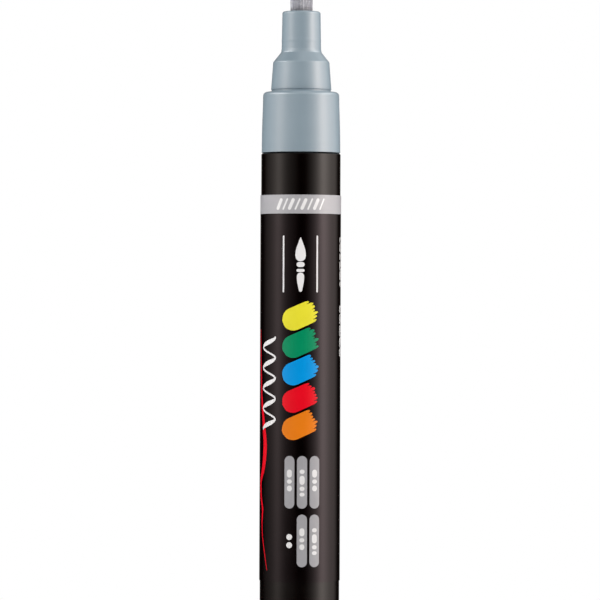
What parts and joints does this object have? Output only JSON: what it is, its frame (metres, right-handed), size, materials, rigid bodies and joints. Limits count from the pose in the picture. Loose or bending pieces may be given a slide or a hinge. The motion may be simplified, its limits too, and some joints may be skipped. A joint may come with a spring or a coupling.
{
  "type": "brush-tipped paint marker",
  "caption": "Slim round paint marker for lettering: stepped nozzle with a pointed bristle brush and pump valve, straight labelled barrel, and a clip cap pushed on to its tail.",
  "frame": {"origin": "on the marker's axis, at the middle of the flat closed end of the cap that it stands on", "axes": "+Z along the marker's axis from the cap's closed end to the brush; +X towards the cap's clip"},
  "size_m": [0.0169, 0.015, 0.1625],
  "materials": {
    "barrel_black": "satin-gloss moulded black plastic",
    "label_film": "glossy printed film, black with coloured and silver print",
    "nozzle_plastic": "satin moulded plastic, cool silver grey",
    "brush_fibre": "fine synthetic bristles, pale grey with a silver sheen",
    "feed_fibre": "bonded porous fibre rod",
    "felt": "compressed felt",
    "natural_plastic": "natural translucent white moulded plastic",
    "seal_rubber": "soft black rubber",
    "steel": "bright stainless steel"
  },
  "bodies": {
    "cap": {"cap_shell": "nozzle_plastic", "inner_cap": "natural_plastic"},
    "barrel": {"barrel": "barrel_black", "label_sleeve": "label_film", "nozzle": "nozzle_plastic", "holder_guide": "natural_plastic", "overflow_absorber": "felt", "valve_housing": "natural_plastic", "valve_seat": "seal_rubber", "valve_spring": "steel", "spring_retainer": "natural_plastic", "tail_plug": "nozzle_plastic"},
    "brush": {"brush_tip": "brush_fibre", "brush_ferrule": "steel", "tip_holder": "natural_plastic", "feed_core": "feed_fibre"},
    "valve": {"valve_stem": "natural_plastic"},
    "ball": {"mixing_ball": "steel"}
  },
  "joints": [
    {"name": "cap_pull", "type": "slide", "parent": "cap", "child": "barrel", "axis": [0, 0, 1], "range_m": [0, 0.03]},
    {"name": "tip_press", "type": "slide", "parent": "barrel", "child": "brush", "axis": [0, 0, -1], "range_m": [0, 0.0015], "stiffness_N_per_m": 1200, "springref_m": -0.0005, "deforming": ["valve_spring"]},
    {"name": "valve_open", "type": "slide", "parent": "barrel", "child": "valve", "axis": [0, 0, -1], "range_m": [0, 0.0015]},
    {"name": "ball_travel", "type": "slide", "parent": "barrel", "child": "ball", "axis": [0, 0, 1], "range_m": [0, 0.0643]}
  ],
  "couplings": [
    {"joint": "valve_open", "follows": "tip_press", "ratio": 1}
  ]
}
